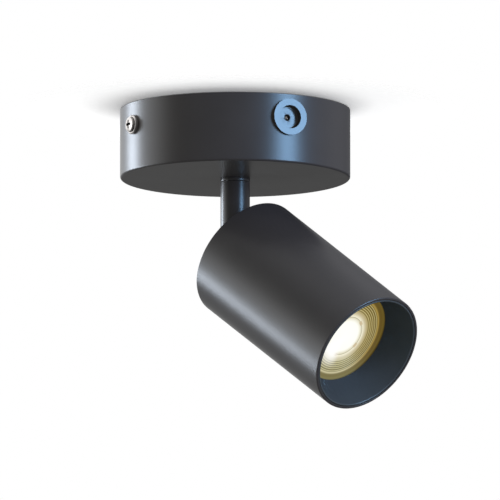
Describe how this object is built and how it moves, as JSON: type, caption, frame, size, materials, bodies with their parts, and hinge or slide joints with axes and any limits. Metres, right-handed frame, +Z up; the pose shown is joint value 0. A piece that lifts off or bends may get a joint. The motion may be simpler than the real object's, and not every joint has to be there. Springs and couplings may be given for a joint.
{
  "type": "surface mounted ceiling spotlight",
  "caption": "Round ceiling canopy with a short turning stem and a hollow tilting knuckle that carries a tubular head with a recessed twist-lock lamp.",
  "frame": {"origin": "centre of the canopy's open face, on the ceiling plane, midway between the two ceiling fixing slots", "axes": "+Z up into the ceiling; the fixing slots and the side screws lie along X; the side entry bush points along -Y"},
  "size_m": [0.1056, 0.1405, 0.1377],
  "materials": {
    "graphite_paint": "satin graphite powder coat, fine texture",
    "zinc_steel": "zinc plated, semi bright",
    "bright_nickel": "bright plated, polished",
    "brass": "turned, dull",
    "steel_screw": "plated",
    "block_plastic": "moulded, matt",
    "steatite": "fired ceramic, matt",
    "lead_sleeve": "smooth insulation",
    "earth_sleeve": "smooth insulation, green with a yellow stripe",
    "fibre": "pressed fibre",
    "baffle_black": "moulded, deep satin black",
    "lamp_plastic": "moulded, half gloss",
    "lamp_shell": "pressed, lacquered",
    "lamp_pin": "nickel plated",
    "board": "circuit board",
    "phosphor": "phosphor coat",
    "lens_plastic": "moulded clear lens, lit warm from behind, ring ridges",
    "lens_rim": "moulded rim"
  },
  "bodies": {
    "root": {"ceiling_bracket": "zinc_steel", "canopy": "graphite_paint", "side_screws": "bright_nickel", "side_collars": "bright_nickel", "entry_bush": "graphite_paint", "bush_nut": "zinc_steel", "bush_pin": "bright_nickel", "terminal_block": "block_plastic", "block_screws": "steel_screw", "terminal_sleeves": "brass", "terminal_screws": "steel_screw", "earth_screw": "brass", "earth_lug": "zinc_steel", "earth_lead": "earth_sleeve", "canopy_leads": "lead_sleeve", "stem_bolt": "zinc_steel", "stem_nut": "zinc_steel", "lock_washer": "zinc_steel", "stem_collar": "graphite_paint", "stop_pin": "zinc_steel"},
    "stem": {"stem_tube": "graphite_paint", "pan_washer": "zinc_steel", "stem_knuckle": "graphite_paint", "stem_leads": "lead_sleeve", "friction_ring": "fibre", "spring_washer": "zinc_steel"},
    "head": {"head_knuckle": "graphite_paint", "pivot_screw": "zinc_steel", "pivot_nut": "zinc_steel", "back_plate": "graphite_paint", "head_tube": "graphite_paint", "stud_washer": "zinc_steel", "stud_nut": "zinc_steel", "holder_bridge": "zinc_steel", "bridge_screws": "zinc_steel", "lampholder": "steatite", "holder_screws": "zinc_steel", "contacts": "brass", "head_leads": "lead_sleeve"},
    "lamp": {"lamp_base": "lamp_plastic", "lamp_pins": "lamp_pin", "lamp_body": "lamp_shell", "driver_board": "board", "led_plate": "lamp_shell", "led_chip": "phosphor", "lamp_lens": "lens_plastic", "lens_ring": "lens_rim"},
    "baffle": {"baffle": "baffle_black", "snap_ring": "zinc_steel"}
  },
  "joints": [
    {"name": "pan", "type": "hinge", "parent": "root", "child": "stem", "pos_m": [0, 0, -0.0317], "axis": [0, 0, 1], "range_deg": [-184.5, 145.5]},
    {"name": "tilt", "type": "hinge", "parent": "stem", "child": "head", "pos_m": [0, 0, -0.061], "axis": [-0.9426, -0.3338, 0], "range_deg": [-145, 35]},
    {"name": "lamp_twist", "type": "hinge", "parent": "head", "child": "lamp", "pos_m": [0, 0, -0.061], "axis": [0.2734, -0.7722, -0.5736], "range_deg": [0, 16]},
    {"name": "baffle_pull", "type": "slide", "parent": "head", "child": "baffle", "axis": [0.2734, -0.7722, -0.5736], "range_m": [0, 0.012]}
  ]
}
